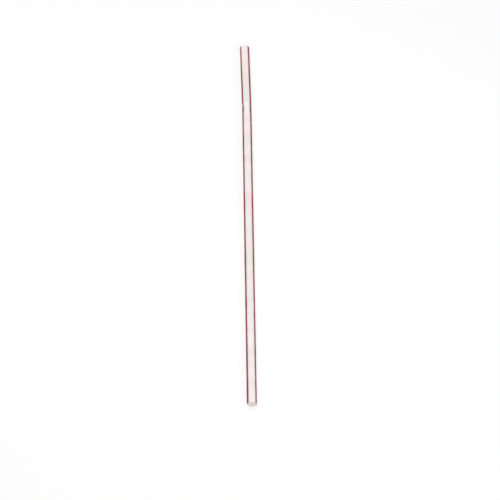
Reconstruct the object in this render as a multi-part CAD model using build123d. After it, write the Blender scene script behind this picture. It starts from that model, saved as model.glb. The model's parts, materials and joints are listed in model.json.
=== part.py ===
from build123d import *
import math
import os

# Tube, in millimetres
straw_diameter = 5.0
wall = 0.15
lower_length = 166.0
drinking_length = 35.5

# Neck: grooves pressed into the wall, each with a long and a short flank, pushed shut
groove_count = 6
groove_depth = 0.42
groove_floor = 0.08
long_flank = 0.34
short_flank = 0.17
crest_flat = 0.31

# How far the drinking end is bent over, in degrees, shared out between the folds
bend_angle = 1.0

# The wall turns over each crest about its own inner corner
crest_rounding = wall

# Worked out from the sizes above
outer_radius = straw_diameter / 2
bore_radius = outer_radius - wall
long_shoulder = crest_rounding * math.tan(math.atan2(groove_depth, long_flank) / 2)
short_shoulder = crest_rounding * math.tan(math.atan2(groove_depth, short_flank) / 2)
groove_start = crest_flat / 2 + long_shoulder
groove_end = groove_start + long_flank + groove_floor + short_flank
fold_pitch = groove_end + short_shoulder + crest_flat / 2
joint_angle = bend_angle / (groove_count + 1)
joint_spare = straw_diameter * math.tan(math.radians(joint_angle))


def straight_tube(start, end):
    """A straight stretch of tube along Y."""
    across = Plane(origin=(0, start, 0), z_dir=(0, 1, 0))
    return extrude(across * (Circle(outer_radius) - Circle(bore_radius)), end - start)


def cut_to_joint(stretch, place, side):
    """The stretch trimmed where it meets the next, leaning by half the angle between them."""
    lean = joint_angle / 2 if side == Keep.BOTTOM else -joint_angle / 2
    joint = Plane(origin=(0, place, 0), z_dir=Vector(0, 1, 0).rotate(Axis.Z, lean))
    return split(stretch, joint, keep=side)


def lower_tube():
    """The long arm that stands in the drink, from its square-cut mouth to the neck."""
    tube = straight_tube(0, lower_length + joint_spare)
    return cut_to_joint(tube, lower_length, Keep.BOTTOM)


def fold():
    """One groove of the neck with half a crest on each side, its wall the same all along."""
    skin = FilletPolyline(
        (outer_radius, -joint_spare),
        (outer_radius, groove_start),
        (outer_radius - groove_depth, groove_start + long_flank),
        (outer_radius - groove_depth, groove_end - short_flank),
        (outer_radius, groove_end),
        (outer_radius, fold_pitch + joint_spare),
        radius=[crest_rounding, 0, 0, crest_rounding],
    )
    section = make_face(offset(skin, amount=wall, side=Side.LEFT, kind=Kind.INTERSECTION))
    ring = cut_to_joint(revolve(section, Axis.Y), 0, Keep.TOP)
    return cut_to_joint(ring, fold_pitch, Keep.BOTTOM)


def drinking_tube():
    """The short arm, from the neck to the mouth that is drunk from."""
    tube = straight_tube(-joint_spare, drinking_length)
    return cut_to_joint(tube, 0, Keep.TOP)


def straw():
    """The whole straw, one wall from end to end, lying on its side with its mouths along Y."""
    turn = Rot(0, 0, joint_angle)
    joint = Pos(0, lower_length, 0) * turn
    one_fold = fold()
    body = lower_tube()
    for _ in range(groove_count):
        body += joint * one_fold
        joint = joint * Pos(0, fold_pitch, 0) * turn
    body += joint * drinking_tube()
    middle = body.bounding_box().center()
    return Pos(-middle.X, -middle.Y, outer_radius) * body


os.makedirs("parts", exist_ok=True)
part = straw()
part.label = "straw"
export_step(part, "parts/straw.step")
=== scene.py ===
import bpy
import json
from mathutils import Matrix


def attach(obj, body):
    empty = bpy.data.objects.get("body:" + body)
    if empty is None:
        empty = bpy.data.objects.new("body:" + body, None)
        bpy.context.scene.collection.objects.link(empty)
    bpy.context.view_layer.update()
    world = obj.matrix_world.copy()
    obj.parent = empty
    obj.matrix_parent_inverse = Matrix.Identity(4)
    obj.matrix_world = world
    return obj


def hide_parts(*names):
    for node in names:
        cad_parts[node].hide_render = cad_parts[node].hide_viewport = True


bl_info = {
    "name": "Flexible Drinking Straw",
    "version": (1, 0, 0),
    "blender": (4, 5, 0),
    "location": "3D View > Sidebar > Straw",
    "description": "Builds a striped drinking straw with a folded neck on its packed CAD part",
    "category": "Add Mesh",
}

import json
import math
from collections import namedtuple

import bpy
import numpy as np
from bpy.props import FloatProperty, FloatVectorProperty, IntProperty, PointerProperty
from mathutils import Matrix, Vector, noise

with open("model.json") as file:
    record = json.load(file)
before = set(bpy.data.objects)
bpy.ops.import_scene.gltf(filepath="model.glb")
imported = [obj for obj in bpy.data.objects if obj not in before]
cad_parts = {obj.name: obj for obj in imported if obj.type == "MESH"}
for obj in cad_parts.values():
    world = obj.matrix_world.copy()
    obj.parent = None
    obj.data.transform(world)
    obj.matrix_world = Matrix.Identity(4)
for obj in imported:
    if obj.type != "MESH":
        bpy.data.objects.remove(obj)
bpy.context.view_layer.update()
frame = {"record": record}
MOUNTS = {mount["name"]: mount for mount in frame["record"]["mounts"]}

MM = 0.001
UP = Vector((0, 0, 1))
WHITE = (1, 1, 1, 1)

# How finely the wall is cut: sides round it, the longest step along it and the largest in an arc
SIDES = 96
LONG_STEP = 2.0 * MM
ARC_STEP = math.radians(11)
LEAST_ARC_STEPS = 2

# Where the mesh's rows of faces begin, counted from the top: between two stripes and out of sight
SEAM = math.radians(120)

# How far into the arms the folding whitens the plastic, and the share of the whitening that the end
# by the long arm gets, which is folded least
WORKED_FADE = 0.25 * MM
LEAST_WORKED = 0.45

# The share of a crest's whitening that the floor of the groove beside it gets. This is painted
# light: it lifts the floors out of the shade that falls in the grooves
GROOVE_PAINTED_LIGHT = 0.5

# How uneven the folds are and how far folding drags the stripes. The uneven places are counted to a
# radian round the straw and have a length along it, and the seed draws the same ones in every run
FOLD_SWAY = 0.03 * MM
STRIPE_SWAY = math.radians(9)
SWAYS_ROUND = 1.3
SWAY_LENGTH = 1.6 * MM
SWAY_SEED = 2

# The bake map's rectangle for each stretch of the unrolled wall, as left, right, bottom and top:
# both halves of the long arm, the neck and the drinking arm, and then all three back on the inside
BAKE_PLACES = (
    (0.01, 0.99, 0.01, 0.30),
    (0.01, 0.99, 0.32, 0.59),
    (0.01, 0.50, 0.61, 0.86),
    (0.52, 0.99, 0.61, 0.86),
    (0.52, 0.70, 0.88, 0.99),
    (0.72, 0.99, 0.88, 0.99),
    (0.01, 0.50, 0.88, 0.99),
)

# Distances along the section that are closer than this are the same
SAME = 1e-9

# The noise in the plastic: streaks to a radian round the wall and to a metre along it, and to a
# metre the cloudiness of its milk and the grain of its surface
STREAKS_ROUND = 14.0
STREAKS_ALONG = 30.0
CLOUDS = 140.0
GRAIN = 9000.0

# The values of each noise between which its effect goes from none to full
STREAK_RANGE = (0.3, 0.7)
CLOUD_RANGE = (0.35, 0.65)
CRAZING_RANGE = (0.45, 0.56)

# The edge of a stripe: its softness, how far it wanders and how often to a metre
EDGE_SOFTNESS = 0.03 * MM
EDGE_WANDER = 0.10 * MM
EDGE_WANDERS = 260.0

# The share of the wall's thickness at which the stripes begin to fade and have faded, what still
# shines through on the inside, and the strength of a stripe where the plastic is clear
STRIPE_DEPTHS = (0.35, 0.75)
SHINE_THROUGH = 0.08
THIN_STRIPE = 0.90

# The whitened lines that folding draws across the stripes: how narrow they are, their strength at
# most, and how many patches they break into to a metre
CREST_SHARPNESS = 30.0
CREST_WHITENING = 0.85
CRAZING = 1100.0

# The brightness of cloudy places beside clear ones
CLOUDY_SHADE = 0.94

# The surface: its least and largest roughness, what folding adds to that, the shares of streaks and
# grain in its relief, and how deep the relief is
ROUGHNESS = (0.24, 0.34)
WORN_ROUGHNESS = 0.10
STREAK_RELIEF = 0.8
GRAIN_RELIEF = 0.2
RELIEF_STRENGTH = 0.35
RELIEF_DEPTH = 0.012 * MM

# The share of light that passes each face of the wall
LET_THROUGH = (0.93, 0.915, 0.91)

# The point that the camera looks at, and the width of its sensor in millimetres
AIM = Vector((0.72, -18.48, 2.5)) * MM
SENSOR_WIDTH = 36

# The places and sizes of the lamps, in metres
KEY_PLACE = (-0.25, 0.15, 0.85)
KEY_SIZE = (0.4, 0.4)
FILL_PLACE = (0.45, -0.35, 0.60)
FILL_SIZE = (0.5, 0.4)

# How far the floor reaches each way, how brightly the open floor is lit beside a white level of 1,
# and the distances from the middle between which it turns plain white
FLOOR_REACH = 3.0
FLOOR_LIGHT = 0.995
FLOOR_FADE = (0.2, 0.7)

# Each corner of the wall's section: where it is, how far it is rounded, and how deep in the wall
# it lies, 0 on the outside and 1 on the inside
Corner = namedtuple("Corner", "place radius depth")

# Each ring of the mesh: its place along the straw and out from its middle, as one complex number,
# and how deep in the wall it lies
Ring = namedtuple("Ring", "place depth")

# A stretch of the unrolled wall and the rectangle of the bake map that it is laid on
Patch = namedtuple("Patch", "first last left right bottom top")


def length_property(name, description, default):
    """A length that a user would change, kept in metres."""
    return FloatProperty(
        name=name, description=description, default=default, min=0, unit="LENGTH", precision=5
    )


def colour_property(name, description, default):
    """A colour that a user would change, written as it should look on the screen."""
    return FloatVectorProperty(
        name=name,
        description=description,
        default=default,
        min=0,
        max=1,
        size=3,
        subtype="COLOR_GAMMA",
    )


class StrawSizes(bpy.types.PropertyGroup):
    """Sizes of the straw. The tube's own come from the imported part."""

    outer_radius: length_property(
        "Outer Radius", "Half the straw's diameter", MOUNTS["lid_sleeve"]["dims"]["r_mm"] * MM
    )
    bore_radius: length_property(
        "Bore Radius", "Half the bore's diameter", MOUNTS["lower_bore"]["dims"]["r_mm"] * MM
    )
    fold_count: IntProperty(name="Folds", description="Grooves in the neck", default=6, min=1)
    groove_depth: length_property("Groove Depth", "How far a groove is pressed in", 0.42 * MM)
    groove_floor: length_property("Groove Floor", "Width of a groove's floor", 0.08 * MM)
    long_flank: length_property("Long Flank", "Length of the shallow flank", 0.34 * MM)
    short_flank: length_property("Short Flank", "Length of the steep flank", 0.17 * MM)
    crest_flat: length_property("Crest Flat", "Flat width on top of a crest", 0.31 * MM)
    crest_rounding: length_property("Crest Rounding", "Radius over a crest's edge", 0.17 * MM)
    floor_rounding: length_property("Floor Rounding", "Radius at a groove's floor", 0.03 * MM)
    rim_rounding: length_property("Rim Rounding", "Radius left by the knife", 0.025 * MM)
    stripe_width: length_property("Stripe Width", "Width of each coloured stripe", 1.65 * MM)
    stripe_drift: FloatProperty(
        name="Stripe Drift",
        description="How far the stripes turn about the straw from mouth to mouth",
        default=math.radians(5),
        subtype="ANGLE",
    )


class StrawColours(bpy.types.PropertyGroup):
    """Colours of the plastic."""

    wall: colour_property("Wall", "Milky plastic of the wall", (0.965, 0.93, 0.925))
    stripe: colour_property("Stripe", "Stripes on the outside", (0.53, 0.05, 0.06))
    stressed: colour_property("Stressed", "Plastic whitened by folding", (0.99, 0.98, 0.975))


class StageSettings(bpy.types.PropertyGroup):
    """Camera and light."""

    elevation: FloatProperty(
        name="Elevation",
        description="Angle at which the camera looks down",
        default=math.radians(60.45),
        subtype="ANGLE",
    )
    azimuth: FloatProperty(
        name="Azimuth",
        description="Angle by which the camera looks to the right of the straw's long axis",
        default=math.radians(0.852),
        subtype="ANGLE",
    )
    distance: length_property("Distance", "From the camera to the point it looks at", 1.147)
    lens: FloatProperty(name="Lens", description="Focal length in millimetres", default=165)
    floor_colour: colour_property("Floor", "Plain pale floor", (0.93, 0.93, 0.93))
    key_power: FloatProperty(
        name="Key Light",
        description="Power of the main lamp",
        default=3.03,
        unit="POWER",
    )
    fill_power: FloatProperty(
        name="Fill Light",
        description="Power of the lamp across from it",
        default=1.69,
        unit="POWER",
    )
    surroundings: FloatProperty(
        name="Surroundings", description="Strength of the white room", default=0.5, min=0
    )


def mouth(name):
    """The middle of a mouth and the direction that it faces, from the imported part."""
    mount = MOUNTS[name]
    return Vector(mount["pos_m"]), Vector(mount["axis"]).normalized()


class Middle:
    """The line along the straw's middle: a straight arm, the neck's slight arc, a straight arm."""

    def __init__(self):
        self.foot, outward = mouth("lower_bore")
        self.foot_way = -outward
        tip, self.tip_way = mouth("drinking_bore")
        self.neck_start = MOUNTS["lower_bore"]["dims"]["length_mm"] * MM
        drinking_length = MOUNTS["drinking_bore"]["dims"]["length_mm"] * MM
        self.neck_foot = self.foot + self.foot_way * self.neck_start
        self.neck_tip = tip - self.tip_way * drinking_length
        self.bend = self.foot_way.angle(self.tip_way)
        self.axis = self.foot_way.cross(self.tip_way).normalized()
        chord = (self.neck_tip - self.neck_foot).length
        self.neck_length = chord * (self.bend / 2) / math.sin(self.bend / 2)
        self.neck_end = self.neck_start + self.neck_length
        self.length = self.neck_end + drinking_length

    def at(self, along):
        """The place at that distance from the lower mouth, and the way the straw runs there."""
        if along <= self.neck_start:
            return self.foot + self.foot_way * along, self.foot_way
        if along >= self.neck_end:
            return self.neck_tip + self.tip_way * (along - self.neck_end), self.tip_way
        turned = self.bend * (along - self.neck_start) / self.neck_length
        way = Matrix.Rotation(turned, 3, self.axis) @ self.foot_way
        half_way = Matrix.Rotation(turned / 2, 3, self.axis) @ self.foot_way
        chord = self.neck_length / self.bend * 2 * math.sin(turned / 2)
        return self.neck_foot + half_way * chord, way

    def neck_share(self, along):
        """0 outside the neck and at its ends, rising to 1 in its middle."""
        share = (along - self.neck_start) / self.neck_length
        return math.sin(math.pi * share) if 0 < share < 1 else 0.0

    def worked(self, along):
        """How far folding has worked the wall: 1 at the drinking arm, less by the long arm."""
        outside = max(self.neck_start - along, along - self.neck_end, 0.0)
        share = min(1.0, max(0.0, (along - self.neck_start) / self.neck_length))
        most = 1 - (1 - LEAST_WORKED) * (1 - share) ** 3
        return most * max(0.0, 1 - outside / WORKED_FADE) ** 2


def inner_corner(before, corner, after, wall, radius):
    """The corner on the inside of the wall that lies across from one on its outside."""
    ways = [corner - before, after - corner]
    normals = [1j * way / abs(way) for way in ways]
    across = sum(normals)
    place = corner - wall * across * 2 / abs(across) ** 2
    turn = (ways[1] / ways[0]).imag
    return place, radius - wall if turn < 0 else radius + wall


def wall_corners(sizes, middle):
    """The corners of the wall's section: out along the outside and back along the inside."""
    radius, wall = sizes.outer_radius, sizes.outer_radius - sizes.bore_radius
    long_lean = math.atan2(sizes.groove_depth, sizes.long_flank)
    lead = sizes.crest_flat / 2 + wall * math.tan(long_lean / 2)
    pitch = middle.neck_length / sizes.fold_count
    skin = [complex(0, radius)]
    rounding = [sizes.rim_rounding]
    for fold in range(sizes.fold_count):
        start = middle.neck_start + fold * pitch + lead
        floor = start + sizes.long_flank
        skin += [
            complex(start, radius),
            complex(floor, radius - sizes.groove_depth),
            complex(floor + sizes.groove_floor, radius - sizes.groove_depth),
            complex(floor + sizes.groove_floor + sizes.short_flank, radius),
        ]
        crest, root = sizes.crest_rounding, sizes.floor_rounding
        rounding += [crest, root, root, crest]
    skin.append(complex(middle.length, radius))
    rounding.append(sizes.rim_rounding)
    outside = [Corner(place, round_by, 0) for place, round_by in zip(skin, rounding)]
    inside = [Corner(complex(0, sizes.bore_radius), sizes.rim_rounding, 1)]
    for before, corner, after, round_by in zip(skin, skin[1:], skin[2:], rounding[1:]):
        inside.append(Corner(*inner_corner(before, corner, after, wall, round_by), 1))
    inside.append(Corner(complex(middle.length, sizes.bore_radius), sizes.rim_rounding, 1))
    return outside + inside[::-1]


def rings_between(last, place, depth, end_step):
    """Rings along a straight run, one of them near each of its ends, or none if it is short."""
    run = place - last.place
    cuts = int(abs(run) / LONG_STEP)
    if not cuts:
        return []
    shares = [cut / (cuts + 1) for cut in range(1, cuts + 1)]
    shares = [end_step / abs(run), *shares, 1 - end_step / abs(run)]
    deeper = depth - last.depth
    return [Ring(last.place + run * share, last.depth + deeper * share) for share in shares]


def rounded(corners, end_step):
    """Rings round the closed section: each corner an arc, and each long run cut into steps."""
    rings = []
    for i, corner in enumerate(corners):
        before, after = corners[i - 1], corners[(i + 1) % len(corners)]
        way = (corner.place - before.place) / abs(corner.place - before.place)
        next_way = (after.place - corner.place) / abs(after.place - corner.place)
        turn = math.atan2((next_way / way).imag, (next_way / way).real)
        side = 1j * math.copysign(1, turn)
        arc_start = corner.place - way * corner.radius * math.tan(abs(turn) / 2)
        centre = arc_start + side * way * corner.radius
        steps = max(LEAST_ARC_STEPS, round(abs(turn) / ARC_STEP))
        if rings:
            rings += rings_between(rings[-1], arc_start, corner.depth, end_step)
        for step in range(steps + 1):
            part = turn * step / steps
            turned = way * complex(math.cos(part), math.sin(part))
            rings.append(Ring(centre - side * turned * corner.radius, corner.depth))
    return rings


def unrolled(rings, middle):
    """Each ring's distance round the section, and its stretches that the bake map lays out."""
    places = [ring.place for ring in rings]
    steps = [abs(b - a) for a, b in zip(places, places[1:] + places[:1])]
    path = np.concatenate([[0], np.cumsum(steps)])
    along = np.array([place.real for place in places])
    turn_back = int(np.argmax(along))
    start, end = middle.neck_start, middle.neck_end

    def reached(place, backwards):
        """The path at which the section passes this place, on its way out or back."""
        if backwards:
            return path[turn_back + int(np.argmax(along[turn_back:] <= place))]
        return path[int(np.argmax(along >= place))]

    half = reached(start / 2, False)
    neck, arm = reached(start, False), reached(end, False)
    back_arm, back_neck = reached(end, True), reached(start, True)
    rim = back_arm - (back_arm - arm) / 2
    ends = [path[0], half, neck, arm, rim, back_arm, back_neck, path[-1]]
    stretches = zip(ends, ends[1:], BAKE_PLACES)
    return path, [Patch(first, last, *place) for first, last, place in stretches]


def wall_points(sizes, middle, rings):
    """Every point of the wall, ring by ring, and by name what the material reads there."""
    noise.seed_set(SWAY_SEED)
    wall = sizes.outer_radius - sizes.bore_radius
    points, stripes, depths, whitened, places_along = [], [], [], [], []
    for ring in rings:
        along = ring.place.real
        centre, way = middle.at(along)
        side = way.cross(UP)
        neck = middle.neck_share(along)
        surface = sizes.outer_radius - ring.depth * wall
        sunk = min(1.0, max(0.0, (surface - ring.place.imag) / sizes.groove_depth))
        drift = sizes.stripe_drift * (along / middle.length - 0.5)
        for k in range(SIDES):
            angle = SEAM + 2 * math.pi * k / SIDES
            outward = UP * math.cos(angle) + side * math.sin(angle)
            sway = noise.noise_vector(outward * SWAYS_ROUND + way * along / SWAY_LENGTH)
            out = ring.place.imag - neck * FOLD_SWAY * abs(sway.x)
            points.append(centre + outward * out + way * neck * FOLD_SWAY * sway.y)
            dragged = angle + drift + neck * STRIPE_SWAY * sway.z
            stripes.append((math.cos(dragged), math.sin(dragged), 0))
        depths += [ring.depth] * SIDES
        # Half a crest's whitening stays on the groove floors as painted light, which lifts them out
        # of the grooves' shade
        whitened += [middle.worked(along) * (1 - sunk * (1 - GROOVE_PAINTED_LIGHT))] * SIDES
        places_along += [along] * SIDES
    return points, {
        "stripe_direction": stripes,
        "wall_depth": depths,
        "whitened": whitened,
        "along": places_along,
    }


def bake_corners(rings, middle):
    """The four corners of each face on the bake map, in the order of the mesh's faces."""
    path, patches = unrolled(rings, middle)
    corners = []
    for i in range(len(rings)):
        patch = next(p for p in patches if path[i] < p.last - SAME)
        stretch = (patch.right - patch.left) / (patch.last - patch.first)
        left, right = [patch.left + stretch * (path[n] - patch.first) for n in (i, i + 1)]
        for k in range(SIDES):
            low, high = [patch.bottom + (patch.top - patch.bottom) * n / SIDES for n in (k, k + 1)]
            corners += [(left, low), (left, high), (right, high), (right, low)]
    return corners


def build_wall(name, sizes):
    """The straw's wall as one closed mesh, with the places that its material reads."""
    middle = Middle()
    end_step = sizes.crest_flat / 2 + WORKED_FADE
    rings = rounded(wall_corners(sizes, middle), end_step)
    points, fields = wall_points(sizes, middle, rings)
    count = len(rings)
    faces = [
        (i * SIDES + k, i * SIDES + (k + 1) % SIDES, j * SIDES + (k + 1) % SIDES, j * SIDES + k)
        for i in range(count)
        for j in [(i + 1) % count]
        for k in range(SIDES)
    ]
    mesh = bpy.data.meshes.new(name)
    mesh.from_pydata(points, [], faces)
    for label, values in fields.items():
        kind, field = ("FLOAT_VECTOR", "vector") if np.ndim(values) == 2 else ("FLOAT", "value")
        layer = mesh.attributes.new(label, kind, "POINT")
        layer.data.foreach_set(field, np.array(values, np.float32).ravel())
    layer = mesh.uv_layers.new(name="OFBake")
    layer.uv.foreach_set("vector", np.array(bake_corners(rings, middle), np.float32).ravel())
    mesh.shade_smooth()
    mesh.validate()
    mesh.update()
    return mesh


def linear(colour):
    """The colour that Blender computes with, for one written as it looks on the screen."""
    channels = [c / 12.92 if c <= 0.04045 else ((c + 0.055) / 1.055) ** 2.4 for c in colour]
    return (*channels, 1)


class Graph:
    """Builds a shader node tree."""

    def __init__(self, tree):
        self.tree = tree
        tree.nodes.clear()

    def node(self, kind, inputs=None, **settings):
        """A node with these settings, and with a value or another node's output at each input."""
        made = self.tree.nodes.new("ShaderNode" + kind)
        for name, value in settings.items():
            setattr(made, name, value)
        for name, value in (inputs or {}).items():
            if isinstance(value, bpy.types.NodeSocket):
                self.tree.links.new(value, made.inputs[name])
            else:
                made.inputs[name].default_value = value
        return made

    def math(self, operation, *values):
        """The output of a math node."""
        return self.node("Math", dict(enumerate(values)), operation=operation).outputs[0]

    def attribute(self, name, output="Fac"):
        """What the mesh holds under this name."""
        return self.node("Attribute", attribute_name=name).outputs[output]

    def mix(self, share, first, second):
        """Two colours mixed."""
        return self.node("Mix", {0: share, 6: first, 7: second}, data_type="RGBA").outputs[2]

    def ramp(self, value, low, high, to_low=0.0, to_high=1.0):
        """The value carried smoothly from one range to another."""
        inputs = {
            "Value": value,
            "From Min": low,
            "From Max": high,
            "To Min": to_low,
            "To Max": to_high,
        }
        return self.node("MapRange", inputs, interpolation_type="SMOOTHSTEP").outputs["Result"]

    def soft_noise(self, place, scale=1.0, detail=2.0, roughness=0.5):
        """Noise from 0 to 1 that changes with the place."""
        inputs = {"Vector": place, "Scale": scale, "Detail": detail, "Roughness": roughness}
        return self.node("TexNoise", inputs).outputs["Fac"]

    def spread_along(self, often):
        """A place that moves this much to a metre along the straw, and by 1 to a radian round it."""
        along = self.math("MULTIPLY", self.attribute("along"), often)
        moved = self.node("CombineXYZ", {"X": along}).outputs[0]
        direction = self.attribute("stripe_direction", "Vector")
        return self.node("VectorMath", {0: moved, 1: direction}).outputs[0]


def die_streaks(graph):
    """Streaks that the die draws along the wall, fine round it and long down it."""
    direction = graph.attribute("stripe_direction", "Vector")
    along = graph.math("MULTIPLY", graph.attribute("along"), STREAKS_ALONG)
    down = graph.node("CombineXYZ", {"Z": along}).outputs[0]
    inputs = {0: direction, "Scale": STREAKS_ROUND}
    round_it = graph.node("VectorMath", inputs, operation="SCALE").outputs[0]
    place = graph.node("VectorMath", {0: round_it, 1: down}).outputs[0]
    return graph.soft_noise(place, detail=3.0, roughness=0.6)


def stripe_share(graph, sizes, clouds):
    """How strongly the stripes colour the wall: 1 in the middle of one, 0 between them."""
    # With the angle from the top, 3 cos - 4 cos cubed is 1 at 60, 180 and 300 degrees, where the
    # stripes are, so its arc cosine is three times the angle from the middle of the nearest one
    direction = graph.attribute("stripe_direction", "Vector")
    cosine = graph.node("SeparateXYZ", {0: direction}).outputs["X"]
    cube = graph.math("POWER", graph.math("ABSOLUTE", cosine), 3.0)
    cube = graph.math("MULTIPLY", cube, graph.math("SIGN", cosine))
    thrice = graph.math("MULTIPLY", cosine, 3.0)
    triple = graph.math("SUBTRACT", thrice, graph.math("MULTIPLY", cube, 4.0))
    within = graph.math("MAXIMUM", graph.math("MINIMUM", triple, 1.0), -1.0)
    distance = graph.math("MULTIPLY", graph.math("ARCCOSINE", within), sizes.outer_radius / 3)

    edge_noise = graph.soft_noise(graph.spread_along(EDGE_WANDERS))
    wander = graph.math("MULTIPLY", graph.math("SUBTRACT", edge_noise, 0.5), EDGE_WANDER)
    distance = graph.math("ADD", distance, wander)
    half = sizes.stripe_width / 2
    stripe = graph.ramp(distance, half - EDGE_SOFTNESS, half + EDGE_SOFTNESS, 1.0, 0.0)

    strength = graph.ramp(graph.attribute("wall_depth"), *STRIPE_DEPTHS, 1.0, SHINE_THROUGH)
    thin = graph.ramp(clouds, *CLOUD_RANGE, THIN_STRIPE, 1.0)
    return graph.math("MULTIPLY", stripe, graph.math("MULTIPLY", strength, thin))


def plastic_colour(graph, sizes, colours, clouds, folded):
    """The milky wall, its stripes, and the whitening that folding leaves on both, which on the
    groove floors is painted light against their shade.
    """
    wall = linear(colours.wall)
    dimmer = (*[c * CLOUDY_SHADE for c in wall[:3]], 1)
    stressed = linear(colours.stressed)
    plastic = graph.mix(graph.ramp(clouds, *CLOUD_RANGE), wall, dimmer)
    # The stressed colour also lightens the groove floors, which is painted light against the shade
    # there
    plastic = graph.mix(folded, plastic, stressed)
    stripe = stripe_share(graph, sizes, clouds)
    coloured = graph.mix(stripe, plastic, linear(colours.stripe))

    crazing = graph.soft_noise(graph.spread_along(CRAZING), detail=1.0)
    patchy = graph.ramp(crazing, *CRAZING_RANGE, 0.0, CREST_WHITENING)
    crests = graph.math("POWER", folded, CREST_SHARPNESS)
    return graph.mix(graph.math("MULTIPLY", crests, patchy), coloured, stressed)


def striped_plastic(sizes, colours):
    """Milky extruded polypropylene with three coloured stripes, whitened where it is folded and
    lightened on the groove floors by painted light.
    """
    material = bpy.data.materials.new("striped_plastic")
    material.use_nodes = True
    graph = Graph(material.node_tree)

    place = graph.node("TexCoord").outputs["Object"]
    clouds = graph.soft_noise(place, CLOUDS)
    grain = graph.soft_noise(place, GRAIN, roughness=0.6)
    streaks = die_streaks(graph)
    # Folding's whitening, with painted light that lifts the groove floors
    folded = graph.attribute("whitened")
    colour = plastic_colour(graph, sizes, colours, clouds, folded)

    worn = graph.math("MULTIPLY", folded, WORN_ROUGHNESS)
    roughness = graph.math("ADD", graph.ramp(streaks, *STREAK_RANGE, *ROUGHNESS), worn)
    drawn = graph.math("MULTIPLY", streaks, STREAK_RELIEF)
    height = graph.math("ADD", drawn, graph.math("MULTIPLY", grain, GRAIN_RELIEF))
    relief = {"Height": height, "Strength": RELIEF_STRENGTH, "Distance": RELIEF_DEPTH}
    shader = graph.node(
        "BsdfPrincipled",
        {
            "Base Color": colour,
            "Roughness": roughness,
            "Normal": graph.node("Bump", relief).outputs["Normal"],
            "IOR": 1.49,
            "Specular IOR Level": 0.28,
            "Subsurface Weight": 0.25,
            "Subsurface Radius": (1.0, 0.85, 0.8),
            "Subsurface Scale": 0.25 * MM,
        },
    )

    # The thin milky wall lets part of the lamps' light through, so that the bore isn't dark
    let_through = graph.node("BsdfTransparent", {"Color": linear(LET_THROUGH)}).outputs[0]
    shadow_ray = graph.node("LightPath").outputs["Is Shadow Ray"]
    seen = graph.node("MixShader", {0: shadow_ray, 1: shader.outputs[0], 2: let_through})
    graph.node("OutputMaterial", {"Surface": seen.outputs[0]})
    return material


class STRAW_OT_build_straw(bpy.types.Operator):
    """Build the straw: one wall from mouth to mouth, with its folded neck and its stripes"""

    bl_idname = "straw.build_straw"
    bl_label = "Build Straw"

    def execute(self, context):
        sizes, colours = context.scene.straw_sizes, context.scene.straw_colours
        mesh = build_wall("striped_straw", sizes)
        mesh.materials.append(striped_plastic(sizes, colours))
        piece = bpy.data.objects.new("striped_straw", mesh)
        context.scene.collection.objects.link(piece)
        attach(piece, "root")
        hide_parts("straw")
        return {"FINISHED"}


def seen_directly(graph):
    """1 for rays that show a surface: straight from the camera, or by gloss or through glass."""
    rays = graph.node("LightPath").outputs
    shown = graph.math("MAXIMUM", rays["Is Camera Ray"], rays["Is Glossy Ray"])
    return graph.math("MAXIMUM", shown, rays["Is Transmission Ray"])


def floor_material(colour):
    """A plain pale floor that a camera sees as white, with the straw's shadow kept."""
    material = bpy.data.materials.new("pale_floor")
    material.use_nodes = True
    graph = Graph(material.node_tree)
    base = linear(colour)
    diffuse = graph.node("BsdfDiffuse", {"Color": base}).outputs[0]
    missing = 1 - base[0] * FLOOR_LIGHT
    glow = graph.node("Emission", {"Color": WHITE, "Strength": missing}).outputs[0]
    lifted = graph.node("AddShader", {0: diffuse, 1: glow}).outputs[0]

    # Away from the straw the floor runs out into the white room, so that no edge of it shows
    place = graph.node("TexCoord").outputs["Object"]
    distance = graph.node("VectorMath", {0: place}, operation="LENGTH").outputs["Value"]
    white = graph.node("Emission", {"Color": WHITE, "Strength": 1.0}).outputs[0]
    away = graph.ramp(distance, *FLOOR_FADE)
    shown = graph.node("MixShader", {0: away, 1: lifted, 2: white}).outputs[0]
    seen = graph.node("MixShader", {0: seen_directly(graph), 1: diffuse, 2: shown}).outputs[0]
    graph.node("OutputMaterial", {"Surface": seen})
    return material


def lay_floor(context, colour):
    """The floor under the straw, which isn't part of it."""
    mesh = bpy.data.meshes.new("floor")
    ends = [(x * FLOOR_REACH, y * FLOOR_REACH, 0) for x, y in ((-1, -1), (1, -1), (1, 1), (-1, 1))]
    mesh.from_pydata(ends, [], [(0, 1, 2, 3)])
    mesh.materials.append(floor_material(colour))
    floor = bpy.data.objects.new("floor", mesh)
    context.scene.collection.objects.link(floor)


def add_lamp(context, name, place, size, power):
    """A soft rectangular lamp that shines at the straw's middle."""
    lamp = bpy.data.lights.new(name, "AREA")
    lamp.shape = "RECTANGLE"
    lamp.size, lamp.size_y = size
    lamp.energy = power
    holder = bpy.data.objects.new(name, lamp)
    holder.location = place
    holder.rotation_euler = (-Vector(place)).to_track_quat("-Z", "Y").to_euler()
    context.scene.collection.objects.link(holder)


def light_room(context, strength):
    """A white room all round, which lights the straw with this strength and is seen as white."""
    world = bpy.data.worlds.new("white_room")
    world.use_nodes = True
    graph = Graph(world.node_tree)
    shown = graph.ramp(seen_directly(graph), 0.0, 1.0, strength, 1.0)
    background = graph.node("Background", {"Color": WHITE, "Strength": shown})
    graph.node("OutputWorld", {"Surface": background.outputs[0]})
    context.scene.world = world


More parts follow.
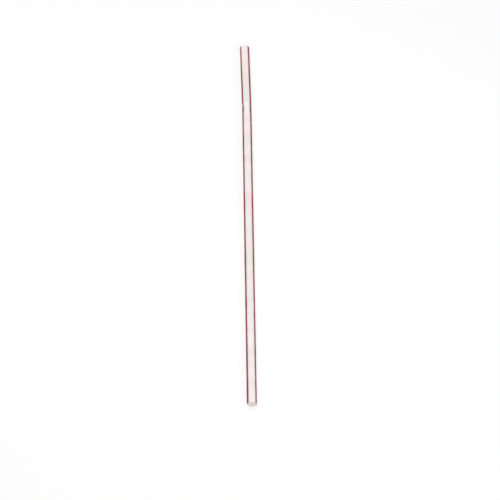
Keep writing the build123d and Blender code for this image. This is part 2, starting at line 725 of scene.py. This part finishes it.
def place_camera(context, stage):
    """The camera, at the angle and distance from which the photograph shows the straw."""
    view = bpy.data.cameras.new("photo_view")
    view.lens = stage.lens
    view.sensor_width = SENSOR_WIDTH
    camera = bpy.data.objects.new("photo_view", view)
    level = math.cos(stage.elevation)
    forward = Vector(
        (
            math.sin(stage.azimuth) * level,
            math.cos(stage.azimuth) * level,
            -math.sin(stage.elevation),
        )
    )
    camera.location = AIM - forward * stage.distance
    camera.rotation_euler = forward.to_track_quat("-Z", "Y").to_euler()
    context.scene.collection.objects.link(camera)
    context.scene.camera = camera


class STRAW_OT_set_stage(bpy.types.Operator):
    """Set the stage: pale floor, soft lamps, white room and the photograph's view"""

    bl_idname = "straw.set_stage"
    bl_label = "Set Stage"

    def execute(self, context):
        stage = context.scene.straw_stage
        lay_floor(context, stage.floor_colour)
        add_lamp(context, "key_light", KEY_PLACE, KEY_SIZE, stage.key_power)
        add_lamp(context, "fill_light", FILL_PLACE, FILL_SIZE, stage.fill_power)
        light_room(context, stage.surroundings)
        place_camera(context, stage)
        context.scene.view_settings.view_transform = "Standard"
        return {"FINISHED"}


class STRAW_PT_sidebar(bpy.types.Panel):
    """The straw's sizes, colours and stage, with what builds them"""

    bl_idname = "STRAW_PT_sidebar"
    bl_label = "Flexible Straw"
    bl_space_type = "VIEW_3D"
    bl_region_type = "UI"
    bl_category = "Straw"

    def draw(self, context):
        scene = context.scene
        for settings in (scene.straw_sizes, scene.straw_colours, scene.straw_stage):
            column = self.layout.column(align=True)
            for name in settings.__annotations__:
                column.prop(settings, name)
        for operator in OPERATORS:
            self.layout.operator(operator.bl_idname)


SETTINGS = {
    "straw_sizes": StrawSizes,
    "straw_colours": StrawColours,
    "straw_stage": StageSettings,
}
OPERATORS = (STRAW_OT_build_straw, STRAW_OT_set_stage)
CLASSES = (*SETTINGS.values(), *OPERATORS, STRAW_PT_sidebar)


def register():
    for kind in CLASSES:
        bpy.utils.register_class(kind)
    for name, kind in SETTINGS.items():
        setattr(bpy.types.Scene, name, PointerProperty(type=kind))


def unregister():
    for name in SETTINGS:
        delattr(bpy.types.Scene, name)
    for kind in reversed(CLASSES):
        bpy.utils.unregister_class(kind)


def main():
    """Builds everything in order."""
    register()
    bpy.ops.straw.build_straw()
    bpy.ops.straw.set_stage()


if __name__ == "__main__":
    main()
